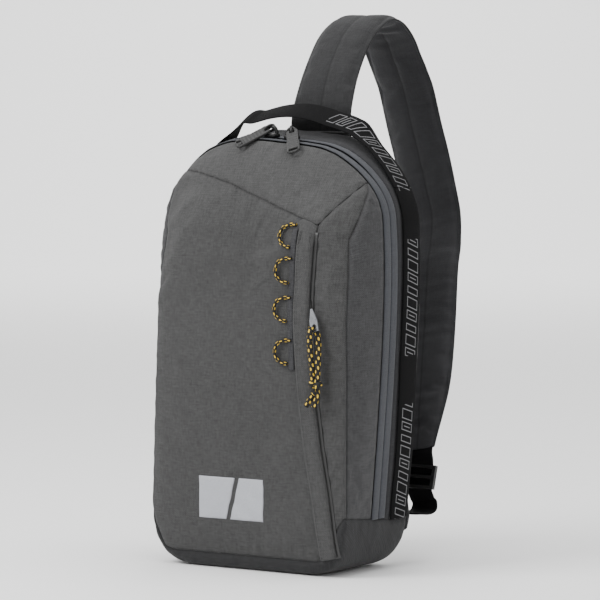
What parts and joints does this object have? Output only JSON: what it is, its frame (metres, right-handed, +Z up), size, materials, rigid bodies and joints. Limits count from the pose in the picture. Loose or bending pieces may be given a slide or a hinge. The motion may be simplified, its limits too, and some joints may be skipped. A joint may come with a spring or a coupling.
{
  "type": "sling bag",
  "caption": "Upright one-strap sling bag with an arched main zip, a covered pocket zip, a webbing handle and a padded strap",
  "frame": {"origin": "on the floor under the middle of the flat base", "axes": "X to the right seen from the front, Y to the back, Z up"},
  "size_m": [0.2386, 0.262, 0.5019],
  "materials": {
    "shell_fabric": "ripstop weave, matt",
    "lower_fabric": "ripstop weave, matt",
    "zip_tape": "knitted tape",
    "zip_coil": "nylon coil",
    "webbing": "ribbed webbing",
    "lining": "brushed mesh lining",
    "foam": "closed-cell foam",
    "cord": "black braid with yellow flecks",
    "moulded_puller": "soft moulded",
    "black_metal": "black lacquer",
    "bright_metal": "satin",
    "black_plastic": "moulded acetal",
    "reflective": "reflective transfer film"
  },
  "bodies": {
    "bag_back": {"base_panel": "lower_fabric", "back_panel": "lower_fabric", "back_foam": "foam", "rear_gusset": "shell_fabric", "zip_tape_rear": "zip_tape", "zip_coil_rear": "zip_coil", "side_webbing_right": "webbing", "side_webbing_left": "webbing", "corner_tab": "lower_fabric", "strap_root_patch": "shell_fabric"},
    "bag_front": {"yoke_panel": "shell_fabric", "front_main_panel": "lower_fabric", "pocket_front_panel": "lower_fabric", "pocket_zip_tape": "zip_tape", "side_gusset_right": "lower_fabric", "side_gusset_left": "lower_fabric", "zip_tape_front": "zip_tape", "zip_coil_front": "zip_coil", "placket": "shell_fabric", "daisy_tape": "webbing", "daisy_loop_1": "cord", "daisy_loop_2": "cord", "daisy_loop_3": "cord", "daisy_loop_4": "cord", "mark_block_left": "reflective", "mark_block_right": "reflective", "pocket_pouch": "lining"},
    "slider_right": {"main_slider_right": "black_metal"},
    "puller_right": {"main_puller_right": "moulded_puller"},
    "slider_left": {"main_slider_left": "black_metal"},
    "puller_left": {"main_puller_left": "moulded_puller"},
    "pocket_zip_slider": {"pocket_slider": "black_metal"},
    "pocket_pull": {"pocket_puller": "bright_metal", "pull_cord_left": "cord", "pull_cord_right": "cord", "cord_tail_left": "cord", "cord_tail_right": "cord", "cord_knot": "cord"},
    "handle": {"carry_handle": "webbing"},
    "shoulder_strap": {"strap_face": "shell_fabric", "strap_foam": "foam", "strap_lining": "lining", "strap_end_tongue": "webbing", "ladder_lock": "black_plastic", "adjuster_webbing": "webbing"}
  },
  "joints": [
    {"name": "front_opening", "type": "hinge", "parent": "bag_back", "child": "bag_front", "pos_m": [0, -0.0545, 0.0137], "axis": [1, 0, 0], "range_deg": [0, 25]},
    {"name": "zip_right_travel", "type": "hinge", "parent": "bag_front", "child": "slider_right", "pos_m": [0.0137, 0.0005, 0.2489], "axis": [0, 1, 0], "range_deg": [0, 27]},
    {"name": "zip_left_travel", "type": "hinge", "parent": "bag_front", "child": "slider_left", "pos_m": [-0.0213, 0.0005, 0.2452], "axis": [0, -1, 0], "range_deg": [0, 26]},
    {"name": "puller_right_swing", "type": "hinge", "parent": "slider_right", "child": "puller_right", "pos_m": [0.011, 0.0005, 0.3975], "axis": [-0.8645, -0.4353, -0.2513], "range_deg": [0, 70]},
    {"name": "puller_left_swing", "type": "hinge", "parent": "slider_left", "child": "puller_left", "pos_m": [-0.011, 0.0005, 0.3989], "axis": [-0.7406, 0.5819, 0.336], "range_deg": [0, 70]},
    {"name": "pocket_zip_travel", "type": "slide", "parent": "bag_front", "child": "pocket_zip_slider", "axis": [0, 0, 1], "range_m": [-0.04, 0.04]},
    {"name": "pocket_pull_swing", "type": "hinge", "parent": "pocket_zip_slider", "child": "pocket_pull", "pos_m": [0.0726, -0.0604, 0.24], "axis": [-0.9531, 0, -0.3027], "range_deg": [0, 80]},
    {"name": "handle_tilt", "type": "hinge", "parent": "bag_back", "child": "handle", "pos_m": [0, 0.034, 0.3825], "axis": [1, 0, 0], "range_deg": [0, 20], "stiffness_Nm_per_rad": 0.03},
    {"name": "strap_swing", "type": "hinge", "parent": "bag_back", "child": "shoulder_strap", "pos_m": [0.0974, 0.06, 0.052], "axis": [-0.262, -0.0123, 0.965], "range_deg": [-6, 6]}
  ]
}
